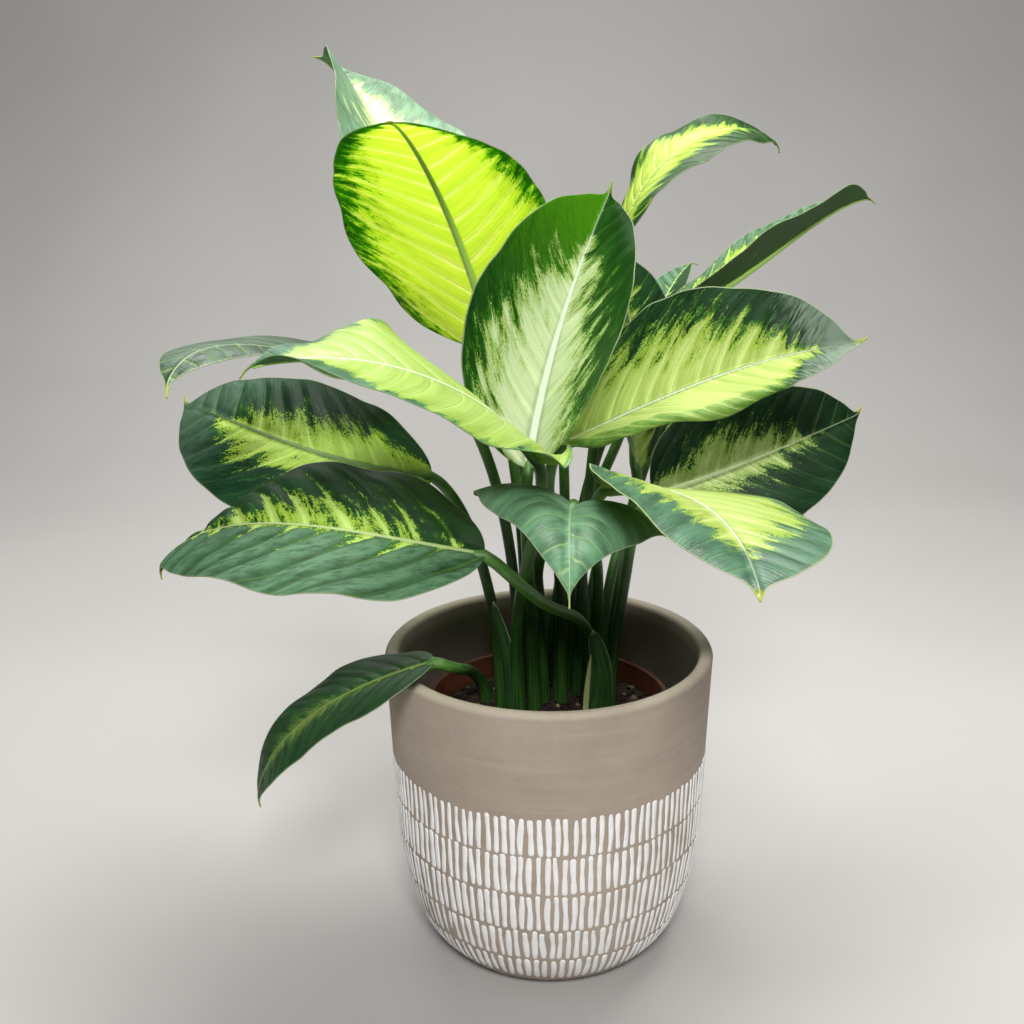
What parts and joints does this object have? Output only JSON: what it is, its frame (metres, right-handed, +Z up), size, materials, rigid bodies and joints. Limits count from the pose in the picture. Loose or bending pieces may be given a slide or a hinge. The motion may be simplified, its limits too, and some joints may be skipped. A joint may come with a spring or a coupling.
{
  "type": "potted dieffenbachia",
  "caption": "Leafy house plant with cream-centred green leaves on sheathed stalks, rooted in soil in a plastic nursery pot that stands inside a tapered clay cover pot",
  "frame": {"origin": "Centre of the cover pot's flat foot, on the surface it stands on.", "axes": "+Z is up along the pots' axis. The plant's front, as pictured, faces -Y, and +X is to the right of someone facing it."},
  "size_m": [0.3778, 0.3567, 0.4469],
  "materials": {
    "cover_clay": "matte, unglazed taupe clay with rows of white dashes",
    "nursery_plastic": "matte terracotta plastic",
    "soil": "dark loose potting soil",
    "leaf": "waxy green leaf with a cream and yellow-green centre"
  },
  "bodies": {
    "root": {"cover_pot": "cover_clay", "nursery_pot": "nursery_plastic", "soil": "soil", "leaf_top_back_left": "leaf", "leaf_top_left": "leaf", "leaf_centre": "leaf", "leaf_right": "leaf", "leaf_right_low": "leaf", "leaf_right_front": "leaf", "leaf_front": "leaf", "leaf_left_low": "leaf", "leaf_left_mid": "leaf", "leaf_left_high": "leaf", "leaf_far_left": "leaf", "leaf_spill": "leaf", "leaf_top_right": "leaf", "leaf_far_right": "leaf", "leaf_behind_centre": "leaf", "leaf_behind_right": "leaf", "leaf_back_centre": "leaf", "leaf_back_right": "leaf"}
  },
  "joints": []
}
